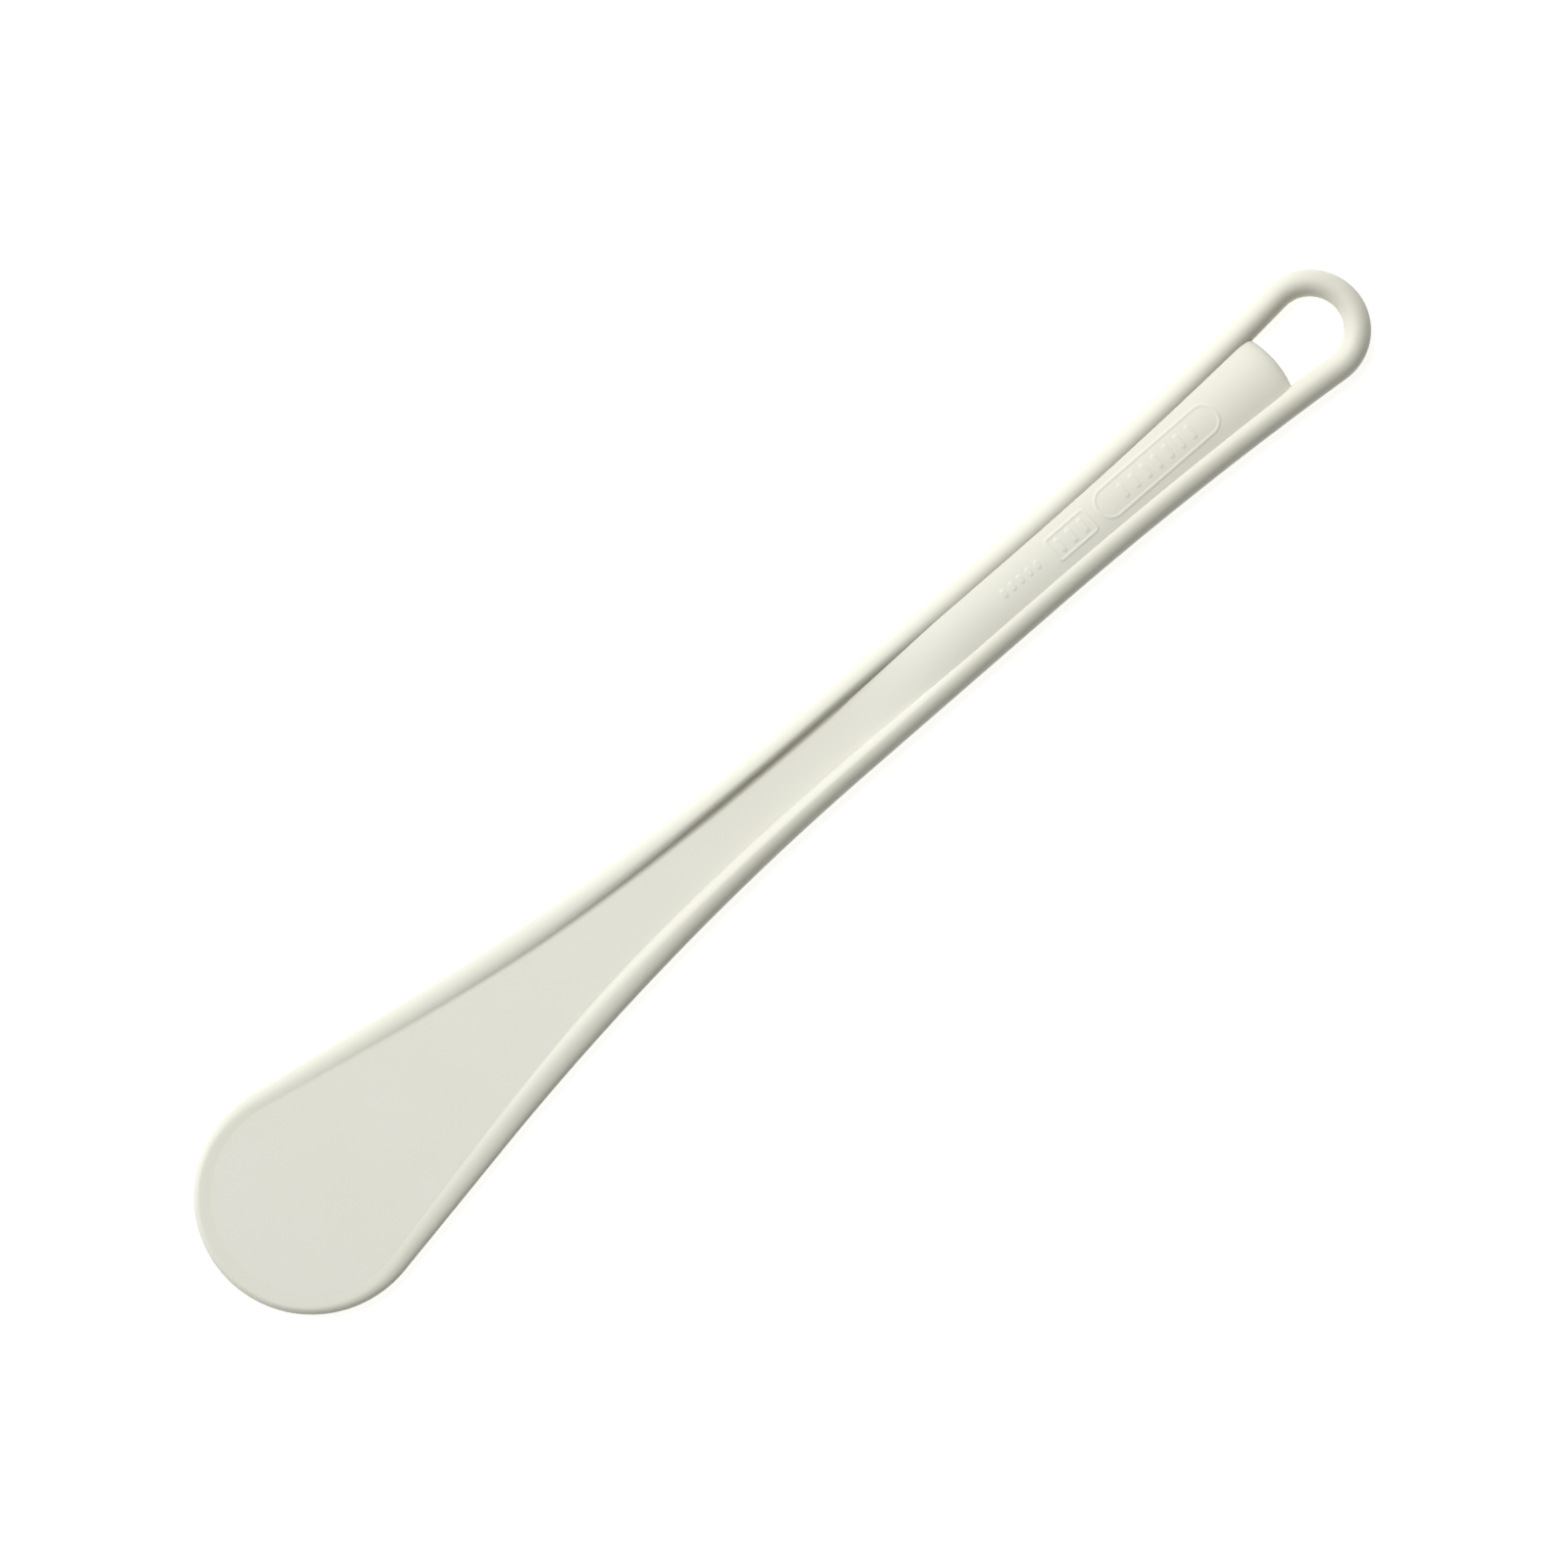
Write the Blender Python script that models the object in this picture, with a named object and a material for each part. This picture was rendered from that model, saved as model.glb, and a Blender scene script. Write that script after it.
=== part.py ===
"""Kitchen mixing spatula with a hanging loop, one moulding of glass-filled polyamide, lying flat.

A round bead runs along the whole edge. It stands hardly above the thin web at the blade's tip, grows
towards the neck, borders the domed core that fills the handle, and closes in a free loop to hang the tool by.
The moulding is divided into its regions, each a closed solid: blade_web, tip_lip, left_rail, right_rail,
handle_core and hanging_loop.

X runs from the blade's tip to the loop, Y is to the left, Z is up. The origin is under the middle, where it rests.
"""

import math
from collections import namedtuple

import bmesh
import bpy
import numpy as np

# Outline, in metres. Each half is six tangent stretches: the tip's arc, a straight flank, the neck's arc, the
# straight grip, the flare's arc and the loop's end arc.
LENGTH = 0.300
TIP_RADIUS = 0.0236
FLANK_ANGLE = math.radians(9.9)
NECK_RADIUS = 0.600
GRIP_HALF_WIDTH = 0.00895
FLARE_START_X = 0.0623
FLARE_RADIUS = 0.855

# Section of the edge bead and the web. Heights are measured from the moulding's middle plane.
BEAD_FULL_HEIGHT = 0.0028
BEAD_GROWTH_START_X = -0.135
BEAD_GROWTH_END_X = -0.016
WEB_HEIGHT = 0.00125
TIP_RELIEF = 0.00004

# The bead's section along the moulding, as pairs of x and value: how deep its crest and its foot lie inside the
# outline, and the radius of the fillet between its inner side and the web.
CREST_DEPTH = (
    (-0.150, 0.00110),
    (-0.140, 0.00130),
    (-0.125, 0.00225),
    (-0.110, 0.00275),
    (-0.080, 0.00305),
    (-0.050, 0.00320),
    (-0.020, 0.00295),
    (0.010, 0.00280),
)
FOOT_DEPTH = (
    (-0.150, 0.00330),
    (-0.125, 0.00345),
    (-0.095, 0.00440),
    (-0.080, 0.00480),
    (-0.063, 0.00525),
    (-0.050, 0.00525),
    (-0.035, 0.00500),
    (-0.020, 0.00460),
    (-0.005, 0.00435),
    (0.010, 0.00430),
    (0.025, 0.00450),
    (0.050, 0.00530),
)
FILLET_RADIUS = (
    (-0.150, 0.0060),
    (-0.110, 0.0040),
    (-0.080, 0.0016),
    (-0.050, 0.0012),
    (-0.020, 0.0011),
    (0.010, 0.0010),
    (0.046, 0.0005),
)
# The half width inside the crest, from the full core to the loop.
INNER_HALF_WIDTH = (
    (0.046, 0.00268),
    (0.070, 0.00265),
    (0.115, 0.00262),
    (0.130, 0.00260),
)
# The pairs' corners are rounded off over this stretch.
SMOOTHED_OVER = np.linspace(-0.007, 0.007, 15)

# Domed core of the handle.
CORE_CROWN = 0.0030
CORE_ROOF_RADIUS = 0.0200
CORE_START_X = 0.014
CORE_FULL_X = 0.046
NOSE_START_X = 0.1215
NOSE_END_X = 0.1283
NOSE_PLAN_RADIUS = 0.020
NOSE_POWER = 3.0

# Raised marks on the front of the core: two framed fields of plain pills, and a short row of dots.
MARK_HEIGHT = 0.00009
MARK_ROOT = 0.0006
FRAME_STROKE = 0.00055
LONG_FRAME_X = (0.0810, 0.1124)
LONG_FRAME_HALF_WIDTH = 0.0035
LONG_FRAME_CORNER = 0.0033
SHORT_FRAME_X = (0.0688, 0.0792)
SHORT_FRAME_HALF_WIDTH = 0.0029
SHORT_FRAME_CORNER = 0.0009
LONG_PILLS = 7
SHORT_PILLS = 3
PILL_WIDTH = 0.0011
PILL_LENGTH = 0.0032
PILL_PITCH = 0.0030
DOT_ROW_X = (0.0556, 0.0654)
DOT_COUNT = 5
DOT_WIDTH = 0.0010
DOT_LENGTH = 0.0018

# The loop begins where the core's nose leaves the bead free.
LOOP_START_X = 0.1269
REGION_GAP = 0.0003

# How finely each stretch is divided.
TIP_STEPS = 14
FLANK_STEPS = 4
NECK_STEPS = 12
GRIP_STEPS = 8
FLARE_STEPS = 7
NOSE_STEPS = 4
LOOP_LEAD_STEPS = 2
LOOP_STEPS = 12
BEAD_OUTER_STEPS = 4
BEAD_INNER_STEPS = 7
TUBE_SIDES = 18
CORE_ACROSS_STEPS = 10
CORE_RISE_STEPS = 8
CORE_STRAIGHT_STEPS = 9
FRAME_CORNER_STEPS = 4
PILL_END_STEPS = 3
SOLVE_STEPS = 40
SHARP_ANGLE = math.radians(32)
WELD_DISTANCE = 1e-7

# A point on the outline, with its outward normal's angle from +Y towards +X.
Station = namedtuple("Station", "x y angle")
# The bead's half height, its half widths outside and inside the crest, where its inner side meets the fillet, the
# fillet's radius, and where the web begins. Along the full core it has no fillet.
Bead = namedtuple("Bead", "height outer inner join fillet foot")


# ---------------------------------------------------------------------------------------------- outline


def tip_centre_x():
    return TIP_RADIUS - LENGTH / 2


def grip_start_x():
    """Where the neck's arc, tangent to the flank, reaches the grip."""
    level = (GRIP_HALF_WIDTH + NECK_RADIUS) * math.cos(FLANK_ANGLE)
    return tip_centre_x() + (TIP_RADIUS + NECK_RADIUS - level) / math.sin(FLANK_ANGLE)


def loop_radius():
    """Radius of the end arc that is tangent to the flare and ends at the full length."""
    reach = LENGTH / 2 - FLARE_START_X
    height = GRIP_HALF_WIDTH + FLARE_RADIUS
    return (reach**2 + height**2 - FLARE_RADIUS**2) / (2 * (FLARE_RADIUS + reach))


def flare_angle(x):
    return math.asin((x - FLARE_START_X) / FLARE_RADIUS)


def flare_end_angle():
    reach = LENGTH / 2 - loop_radius() - FLARE_START_X
    return math.asin(reach / (FLARE_RADIUS + loop_radius()))


def arc(centre_x, centre_y, radius, start, end, steps):
    """Stations on an arc. A negative radius is a hollow stretch, whose centre lies outside the outline."""
    stations = []
    for step in range(steps + 1):
        angle = start + (end - start) * step / steps
        stations.append(
            Station(centre_x + radius * math.sin(angle), centre_y + radius * math.cos(angle), angle)
        )
    return stations


def line(start, end, steps):
    """Stations on a straight stretch between two stations of equal angle, both ends included."""
    stations = []
    for step in range(steps + 1):
        share = step / steps
        x = start.x + (end.x - start.x) * share
        y = start.y + (end.y - start.y) * share
        stations.append(Station(x, y, start.angle))
    return stations


def mirrored(stations):
    """The same stretch on the -Y side, in reverse order, so that it runs on into the +Y side."""
    return [Station(s.x, -s.y, math.pi - s.angle) for s in reversed(stations)]


def tip_stretch():
    return arc(tip_centre_x(), 0, TIP_RADIUS, -math.pi / 2, FLANK_ANGLE, TIP_STEPS)


def neck_stretch():
    centre_y = GRIP_HALF_WIDTH + NECK_RADIUS
    return arc(grip_start_x(), centre_y, -NECK_RADIUS, FLANK_ANGLE, 0, NECK_STEPS)


def flank_stretch(lead):
    """The straight flank, starting a distance lead past the tip's arc."""
    first = tip_stretch()[-1]
    start = Station(
        first.x + lead * math.cos(FLANK_ANGLE), first.y - lead * math.sin(FLANK_ANGLE), first.angle
    )
    return line(start, neck_stretch()[0], FLANK_STEPS)


def grip_stretch(end_x, steps):
    start = Station(grip_start_x(), GRIP_HALF_WIDTH, 0)
    return line(start, Station(end_x, GRIP_HALF_WIDTH, 0), steps)


def flare_stretch(start_angle, end_angle, steps):
    centre_y = GRIP_HALF_WIDTH + FLARE_RADIUS
    return arc(FLARE_START_X, centre_y, -FLARE_RADIUS, -start_angle, -end_angle, steps)


def handle_half_width(x):
    """The outline's half width along the grip and the flare."""
    if x <= FLARE_START_X:
        return GRIP_HALF_WIDTH
    return GRIP_HALF_WIDTH + FLARE_RADIUS * (1 - math.cos(flare_angle(x)))


# ---------------------------------------------------------------------------------------------- section


def smoothed(table, x):
    """The value at x in a table of places and values, with the table's corners rounded off."""
    places, values = zip(*table)
    return float(np.mean(np.interp(x + SMOOTHED_OVER, places, values)))


def bead_at(x):
    """The bead's section at x. Its inner side and the fillet share a tangent and land flat on the web."""
    span = BEAD_GROWTH_END_X - BEAD_GROWTH_START_X
    growth = min(max((x - BEAD_GROWTH_START_X) / span, 0), 1)
    full_relief = BEAD_FULL_HEIGHT - WEB_HEIGHT
    height = WEB_HEIGHT + TIP_RELIEF + (full_relief - TIP_RELIEF) * growth**2
    outer = smoothed(CREST_DEPTH, x)
    if x >= CORE_FULL_X:
        inner = smoothed(INNER_HALF_WIDTH, x)
        return Bead(height, outer, inner, outer + inner, 0, outer + inner)
    reach = math.sqrt(1 - (WEB_HEIGHT / height) ** 2)
    inner = (smoothed(FOOT_DEPTH, x) - outer) / reach
    fillet = smoothed(FILLET_RADIUS, x)
    low, high = 0, math.pi / 2
    for _ in range(SOLVE_STEPS):
        lean = (low + high) / 2
        slope = math.atan(height / inner * math.tan(lean))
        if height * math.cos(lean) - fillet * (1 - math.cos(slope)) > WEB_HEIGHT:
            low = lean
        else:
            high = lean
    join = outer + inner * math.sin(lean)
    return Bead(height, outer, inner, join, fillet, join + fillet * math.sin(slope))


def bead_height(bead, depth):
    """Height of the bead and its fillet at a depth inwards from the outline."""
    if depth <= bead.join:
        half_width = bead.outer if depth < bead.outer else bead.inner
        share = (depth - bead.outer) / half_width
        return bead.height * math.sqrt(max(1 - share**2, 0))
    if depth >= bead.foot:
        return WEB_HEIGHT
    return WEB_HEIGHT + bead.fillet - math.sqrt(bead.fillet**2 - (bead.foot - depth) ** 2)


def smooth_step(share):
    share = min(max(share, 0), 1)
    return share**2 * (3 - 2 * share)


def nose_end_x(y):
    """The core's end, an arc in plan that bulges into the loop."""
    return NOSE_END_X - y**2 / (2 * NOSE_PLAN_RADIUS)


def nose_fall(share):
    """How much of the core's height is left at a share of the way along its nose."""
    share = min(max(share, 0), 1)
    return (1 - share**NOSE_POWER) ** (1 / NOSE_POWER)


def core_height(x, y):
    """Height of the core's roof: flat on the web at its start, then a dome, rounded down at the nose."""
    dome = CORE_CROWN - CORE_ROOF_RADIUS + math.sqrt(CORE_ROOF_RADIUS**2 - y**2)
    rise = smooth_step((x - CORE_START_X) / (CORE_FULL_X - CORE_START_X))
    roof = WEB_HEIGHT + rise * (dome - WEB_HEIGHT)
    return roof * nose_fall((x - NOSE_START_X) / (nose_end_x(y) - NOSE_START_X))


def core_edge_y(x):
    """Where the core's roof and the bead meet, on a cut across the handle at x."""
    bead = bead_at(x)
    outer = handle_half_width(x)
    low = bead.outer
    high = bead.foot
    for _ in range(SOLVE_STEPS):
        depth = (low + high) / 2
        if bead_height(bead, depth) > core_height(x, outer - depth):
            low = depth
        else:
            high = depth
    return outer - depth


# ---------------------------------------------------------------------------------------------- meshes


def inward(station, depth, height):
    """The point at a depth inwards from a station and a height above the middle plane."""
    x = station.x - depth * math.sin(station.angle)
    y = station.y - depth * math.cos(station.angle)
    return (x, y, height)


def cut_depth(station, bead):
    """How far inwards a rail reaches: to the fillet's foot on the web, to the roof's edge along the core."""
    if station.x <= CORE_START_X:
        return bead.foot
    return handle_half_width(station.x) - core_edge_y(station.x)


def bead_ring(station):
    """The bead's section at a station, with an upright inner wall."""
    bead = bead_at(station.x)
    depths = []
    for step in range(1, BEAD_OUTER_STEPS + 1):
        turn = math.pi / 2 * step / BEAD_OUTER_STEPS
        depths.append(bead.outer * (1 - math.cos(turn)))
    reach = cut_depth(station, bead) - bead.outer
    for step in range(1, BEAD_INNER_STEPS + 1):
        depths.append(bead.outer + reach * step / BEAD_INNER_STEPS)
    top = [inward(station, depth, bead_height(bead, depth)) for depth in depths]
    bottom = [(x, y, -z) for x, y, z in reversed(top)]
    return [inward(station, 0, 0), *top, *bottom]


def tube_ring(station):
    """The free bead's full round section at a station."""
    bead = bead_at(station.x)
    ring = []
    for side in range(TUBE_SIDES):
        turn = math.tau * side / TUBE_SIDES
        half_width = bead.outer if math.cos(turn) > 0 else bead.inner
        depth = bead.outer - half_width * math.cos(turn)
        ring.append(inward(station, depth, bead.height * math.sin(turn)))
    return ring


def core_ring(points):
    """A closed cut through the core: its roof over the points in plan, and the same roof turned downwards."""
    roof = [(x, y, core_height(x, y)) for x, y in points]
    return [*roof, *[(x, y, -z) for x, y, z in reversed(roof)]]


def core_cut(x):
    """The points across the core at x, from edge to edge."""
    edge = core_edge_y(x) - REGION_GAP
    steps = CORE_ACROSS_STEPS
    return [(x, edge * (2 * step / steps - 1)) for step in range(steps + 1)]


def nose_cut(share):
    """The points across the nose at a share of its length, bent like its end."""
    edge_x = NOSE_START_X
    for _ in range(SOLVE_STEPS):
        edge_y = core_edge_y(edge_x) - REGION_GAP
        edge_x = NOSE_START_X + share * (nose_end_x(edge_y) - NOSE_START_X)
    points = []
    for step in range(CORE_ACROSS_STEPS + 1):
        y = edge_y * (2 * step / CORE_ACROSS_STEPS - 1)
        points.append((NOSE_START_X + share * (nose_end_x(y) - NOSE_START_X), y))
    return points


def loft(mesh, rings, close_end=True):
    """A closed skin over rings of equal length, with a flat cap on the first and, if wanted, on the last."""
    rows = [[mesh.verts.new(point) for point in ring] for ring in rings]
    for row, after in zip(rows, rows[1:]):
        for index in range(len(row)):
            ahead = (index + 1) % len(row)
            mesh.faces.new((row[index], row[ahead], after[ahead], after[index]))
    mesh.faces.new(rows[0])
    if close_end:
        mesh.faces.new(rows[-1])


def prism(mesh, outline, height):
    """A flat plate over an outline, from -height to +height."""
    base = mesh.faces.new([mesh.verts.new((x, y, -height)) for x, y in outline])
    grown = bmesh.ops.extrude_face_region(mesh, geom=[base])
    top = [item for item in grown["geom"] if isinstance(item, bmesh.types.BMVert)]
    bmesh.ops.translate(mesh, verts=top, vec=(0, 0, 2 * height))


def new_object(name, mesh, parent):
    bmesh.ops.remove_doubles(mesh, verts=mesh.verts, dist=WELD_DISTANCE)
    bmesh.ops.recalc_face_normals(mesh, faces=mesh.faces)
    data = bpy.data.meshes.new(name)
    mesh.to_mesh(data)
    mesh.free()
    data.shade_smooth()
    data.set_sharp_from_angle(angle=SHARP_ANGLE)
    thing = bpy.data.objects.new(name, data)
    thing.parent = parent
    bpy.context.scene.collection.objects.link(thing)
    return thing


# ---------------------------------------------------------------------------------------------- materials


def to_linear(value):
    return value / 12.92 if value <= 0.04045 else ((value + 0.055) / 1.055) ** 2.4


def polyamide(name, colour, roughness):
    """Ivory polyamide, of an sRGB colour."""
    material = bpy.data.materials.new(name)
    material.use_nodes = True
    shader = material.node_tree.nodes["Principled BSDF"]
    shader.inputs["Base Color"].default_value = (*[to_linear(c) for c in colour], 1)
    shader.inputs["Roughness"].default_value = roughness
    shader.inputs["Metallic"].default_value = 0
    return material


def web_material():
    return polyamide("web_polyamide", (0.880, 0.880, 0.832), 0.55)


def lip_material():
    return polyamide("lip_polyamide", (0.885, 0.883, 0.830), 0.48)


def rail_material(side):
    return polyamide(f"{side}_rail_polyamide", (0.894, 0.888, 0.835), 0.42)


def core_material():
    return polyamide("core_polyamide", (0.892, 0.890, 0.832), 0.50)


def loop_material():
    return polyamide("loop_polyamide", (0.894, 0.888, 0.838), 0.42)


# ---------------------------------------------------------------------------------------------- regions


def make_tip_lip(parent):
    mesh = bmesh.new()
    half = tip_stretch()
    path = mirrored(half)[:-1] + half
    loft(mesh, [bead_ring(station) for station in path])
    lip = new_object("tip_lip", mesh, parent)
    lip.data.materials.append(lip_material())


def make_blade_web(parent):
    """The web's outline lies one gap inside the bead's foot, and ends square where the core begins."""
    half = tip_stretch()[1:] + flank_stretch(0)[1:] + neck_stretch()[1:]
    half += grip_stretch(CORE_START_X - REGION_GAP, 1)[1:]
    edge = [inward(station, bead_at(station.x).foot + REGION_GAP, 0) for station in half]
    tip_x = -LENGTH / 2 + bead_at(-LENGTH / 2).foot + REGION_GAP
    outline = [(tip_x, 0)]
    outline += [(x, y) for x, y, _ in edge]
    outline += [(x, -y) for x, y, _ in reversed(edge)]
    mesh = bmesh.new()
    prism(mesh, outline, WEB_HEIGHT)
    web = new_object("blade_web", mesh, parent)
    web.data.materials.append(web_material())


def make_rail(side, parent):
    nose = flare_angle(NOSE_START_X)
    path = flank_stretch(REGION_GAP)
    path += neck_stretch()[1:]
    path += grip_stretch(FLARE_START_X, GRIP_STEPS)[1:]
    path += flare_stretch(0, nose, FLARE_STEPS)[1:]
    path += flare_stretch(nose, flare_angle(LOOP_START_X), NOSE_STEPS)[1:]
    turn = 1 if side == "left" else -1
    mesh = bmesh.new()
    loft(mesh, [[(x, turn * y, z) for x, y, z in bead_ring(station)] for station in path])
    rail = new_object(f"{side}_rail", mesh, parent)
    rail.data.materials.append(rail_material(side))


def make_hanging_loop(parent):
    lead_start = flare_angle(LOOP_START_X + REGION_GAP)
    half = flare_stretch(lead_start, flare_end_angle(), LOOP_LEAD_STEPS)
    centre_x = LENGTH / 2 - loop_radius()
    half += arc(centre_x, 0, loop_radius(), -flare_end_angle(), math.pi / 2, LOOP_STEPS)[1:]
    path = half + mirrored(half)[1:]
    mesh = bmesh.new()
    loft(mesh, [tube_ring(station) for station in path])
    loop = new_object("hanging_loop", mesh, parent)
    loop.data.materials.append(loop_material())


def make_handle_core(parent):
    cuts = []
    for step in range(CORE_RISE_STEPS):
        cuts.append(core_cut(CORE_START_X + (CORE_FULL_X - CORE_START_X) * step / CORE_RISE_STEPS))
    for step in range(CORE_STRAIGHT_STEPS):
        cuts.append(core_cut(CORE_FULL_X + (NOSE_START_X - CORE_FULL_X) * step / CORE_STRAIGHT_STEPS))
    for step in range(2 * NOSE_STEPS + 1):
        cuts.append(nose_cut(math.sin(math.pi / 2 * step / (2 * NOSE_STEPS))))
    mesh = bmesh.new()
    loft(mesh, [core_ring(points) for points in cuts], close_end=False)
    core = new_object("handle_core", mesh, parent)
    core.data.materials.append(core_material())
    union = core.modifiers.new("raised_marks", "BOOLEAN")
    union.operation = "UNION"
    union.solver = "EXACT"
    union.object = make_marks(parent)


# ---------------------------------------------------------------------------------------------- raised marks


def rounded_outline(centre_x, half_length, half_width, corner, steps):
    """A rectangle with round corners, in plan."""
    points = []
    for quarter in range(4):
        side_x = 1 if quarter in (0, 3) else -1
        side_y = 1 if quarter < 2 else -1
        for step in range(steps + 1):
            turn = math.pi / 2 * (quarter + step / steps)
            x = centre_x + side_x * (half_length - corner) + corner * math.cos(turn)
            y = side_y * (half_width - corner) + corner * math.sin(turn)
            points.append((x, y))
    return points


def mark_ring(mesh, outline, level):
    """Vertices over an outline, at a level above the core's roof."""
    return [mesh.verts.new((x, y, core_height(x, y) + level)) for x, y in outline]


def bridge_rows(mesh, row, after):
    for index in range(len(row)):
        ahead = (index + 1) % len(row)
        mesh.faces.new((row[index], row[ahead], after[ahead], after[index]))


def add_frame(mesh, span, half_width, corner):
    """A raised frame whose top follows the roof."""
    centre_x = (span[0] + span[1]) / 2
    half_length = (span[1] - span[0]) / 2
    outer = rounded_outline(centre_x, half_length, half_width, corner, FRAME_CORNER_STEPS)
    inner = rounded_outline(
        centre_x,
        half_length - FRAME_STROKE,
        half_width - FRAME_STROKE,
        corner - FRAME_STROKE,
        FRAME_CORNER_STEPS,
    )
    outer_top = mark_ring(mesh, outer, MARK_HEIGHT)
    inner_top = mark_ring(mesh, inner, MARK_HEIGHT)
    outer_root = mark_ring(mesh, outer, -MARK_ROOT)
    inner_root = mark_ring(mesh, inner, -MARK_ROOT)
    bridge_rows(mesh, outer_top, inner_top)
    bridge_rows(mesh, inner_top, inner_root)
    bridge_rows(mesh, inner_root, outer_root)
    bridge_rows(mesh, outer_root, outer_top)


def add_pill(mesh, centre_x, width, length):
    """A raised pill across the handle."""
    outline = rounded_outline(centre_x, width / 2, length / 2, width / 2, PILL_END_STEPS)
    top = mark_ring(mesh, outline, MARK_HEIGHT)
    root = mark_ring(mesh, outline, -MARK_ROOT)
    bridge_rows(mesh, top, root)
    mesh.faces.new(top)
    mesh.faces.new(root)


def add_pill_row(mesh, centre_x, count, pitch, width, length):
    for index in range(count):
        add_pill(mesh, centre_x + (index - (count - 1) / 2) * pitch, width, length)


def make_marks(parent):
    """All marks as one helper, which the core's union takes in."""
    mesh = bmesh.new()
    add_frame(mesh, LONG_FRAME_X, LONG_FRAME_HALF_WIDTH, LONG_FRAME_CORNER)
    add_frame(mesh, SHORT_FRAME_X, SHORT_FRAME_HALF_WIDTH, SHORT_FRAME_CORNER)
    add_pill_row(mesh, sum(LONG_FRAME_X) / 2, LONG_PILLS, PILL_PITCH, PILL_WIDTH, PILL_LENGTH)
    add_pill_row(mesh, sum(SHORT_FRAME_X) / 2, SHORT_PILLS, PILL_PITCH, PILL_WIDTH, PILL_LENGTH)
    dot_pitch = (DOT_ROW_X[1] - DOT_ROW_X[0] - DOT_WIDTH) / (DOT_COUNT - 1)
    add_pill_row(mesh, sum(DOT_ROW_X) / 2, DOT_COUNT, dot_pitch, DOT_WIDTH, DOT_LENGTH)
    marks = new_object("raised_marks_tool", mesh, parent)
    marks.hide_render = True
    marks.display_type = "WIRE"
    return marks


def main():
    for old in list(bpy.data.objects):
        bpy.data.objects.remove(old)
    moulding = bpy.data.objects.new("moulding", None)
    moulding.location = (0, 0, CORE_CROWN)
    bpy.context.scene.collection.objects.link(moulding)
    make_tip_lip(moulding)
    make_blade_web(moulding)
    make_rail("left", moulding)
    make_rail("right", moulding)
    make_handle_core(moulding)
    make_hanging_loop(moulding)


main()
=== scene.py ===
import math
from collections import namedtuple

import bmesh
import bpy
import numpy as np
from mathutils import Matrix, Vector


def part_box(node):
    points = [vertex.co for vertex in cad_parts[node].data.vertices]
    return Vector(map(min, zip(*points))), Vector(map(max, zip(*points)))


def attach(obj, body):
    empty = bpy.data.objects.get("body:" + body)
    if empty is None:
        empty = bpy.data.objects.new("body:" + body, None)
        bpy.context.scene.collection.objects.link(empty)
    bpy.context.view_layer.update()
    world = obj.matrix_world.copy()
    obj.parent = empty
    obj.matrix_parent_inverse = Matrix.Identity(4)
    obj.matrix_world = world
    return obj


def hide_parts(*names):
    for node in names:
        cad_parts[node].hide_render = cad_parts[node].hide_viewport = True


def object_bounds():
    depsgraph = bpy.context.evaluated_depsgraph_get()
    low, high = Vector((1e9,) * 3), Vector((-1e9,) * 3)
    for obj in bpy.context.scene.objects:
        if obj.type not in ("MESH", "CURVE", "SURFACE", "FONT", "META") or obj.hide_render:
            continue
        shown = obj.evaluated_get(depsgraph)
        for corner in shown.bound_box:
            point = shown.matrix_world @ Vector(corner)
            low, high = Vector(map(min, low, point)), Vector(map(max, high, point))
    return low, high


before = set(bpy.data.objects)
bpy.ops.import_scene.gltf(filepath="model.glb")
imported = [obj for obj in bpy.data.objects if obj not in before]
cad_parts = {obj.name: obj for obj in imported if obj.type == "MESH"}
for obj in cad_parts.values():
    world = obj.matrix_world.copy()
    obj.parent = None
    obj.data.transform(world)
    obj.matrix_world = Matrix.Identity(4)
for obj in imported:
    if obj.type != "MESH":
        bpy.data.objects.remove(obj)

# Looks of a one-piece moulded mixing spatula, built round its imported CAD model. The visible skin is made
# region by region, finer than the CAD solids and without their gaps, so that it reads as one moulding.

CAD_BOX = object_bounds()
BODY = "root"

# ------------------------------------------------------------------------------------ sizes, in metres
# The frame gives the overall sizes and the middle plane; the section's sizes are the moulding's own.

LENGTH = CAD_BOX[1].x - CAD_BOX[0].x
TIP_RADIUS = 0.0236
FLANK_ANGLE = math.radians(9.9)
NECK_RADIUS = 0.600
GRIP_HALF_WIDTH = 0.00895
FLARE_START_X = 0.0623
FLARE_RADIUS = 0.855

BEAD_FULL_HEIGHT = 0.0028
BEAD_GROWTH_START_X = -0.135
BEAD_GROWTH_END_X = -0.016
WEB_HEIGHT = 0.00125
TIP_RELIEF = 0.00004
# Depths from the outline, and the fillet's radius, as (x, value) along the spatula.
CREST_DEPTH = (
    (-0.150, 0.00110),
    (-0.140, 0.00130),
    (-0.125, 0.00225),
    (-0.110, 0.00275),
    (-0.080, 0.00305),
    (-0.050, 0.00320),
    (-0.020, 0.00295),
    (0.010, 0.00280),
)
FOOT_DEPTH = (
    (-0.150, 0.00330),
    (-0.125, 0.00345),
    (-0.095, 0.00440),
    (-0.080, 0.00480),
    (-0.063, 0.00525),
    (-0.050, 0.00525),
    (-0.035, 0.00500),
    (-0.020, 0.00460),
    (-0.005, 0.00435),
    (0.010, 0.00430),
    (0.025, 0.00450),
    (0.050, 0.00530),
)
FILLET_RADIUS = (
    (-0.150, 0.0060),
    (-0.110, 0.0040),
    (-0.080, 0.0016),
    (-0.050, 0.0012),
    (-0.020, 0.0011),
    (0.010, 0.0010),
    (0.046, 0.0005),
)
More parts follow.
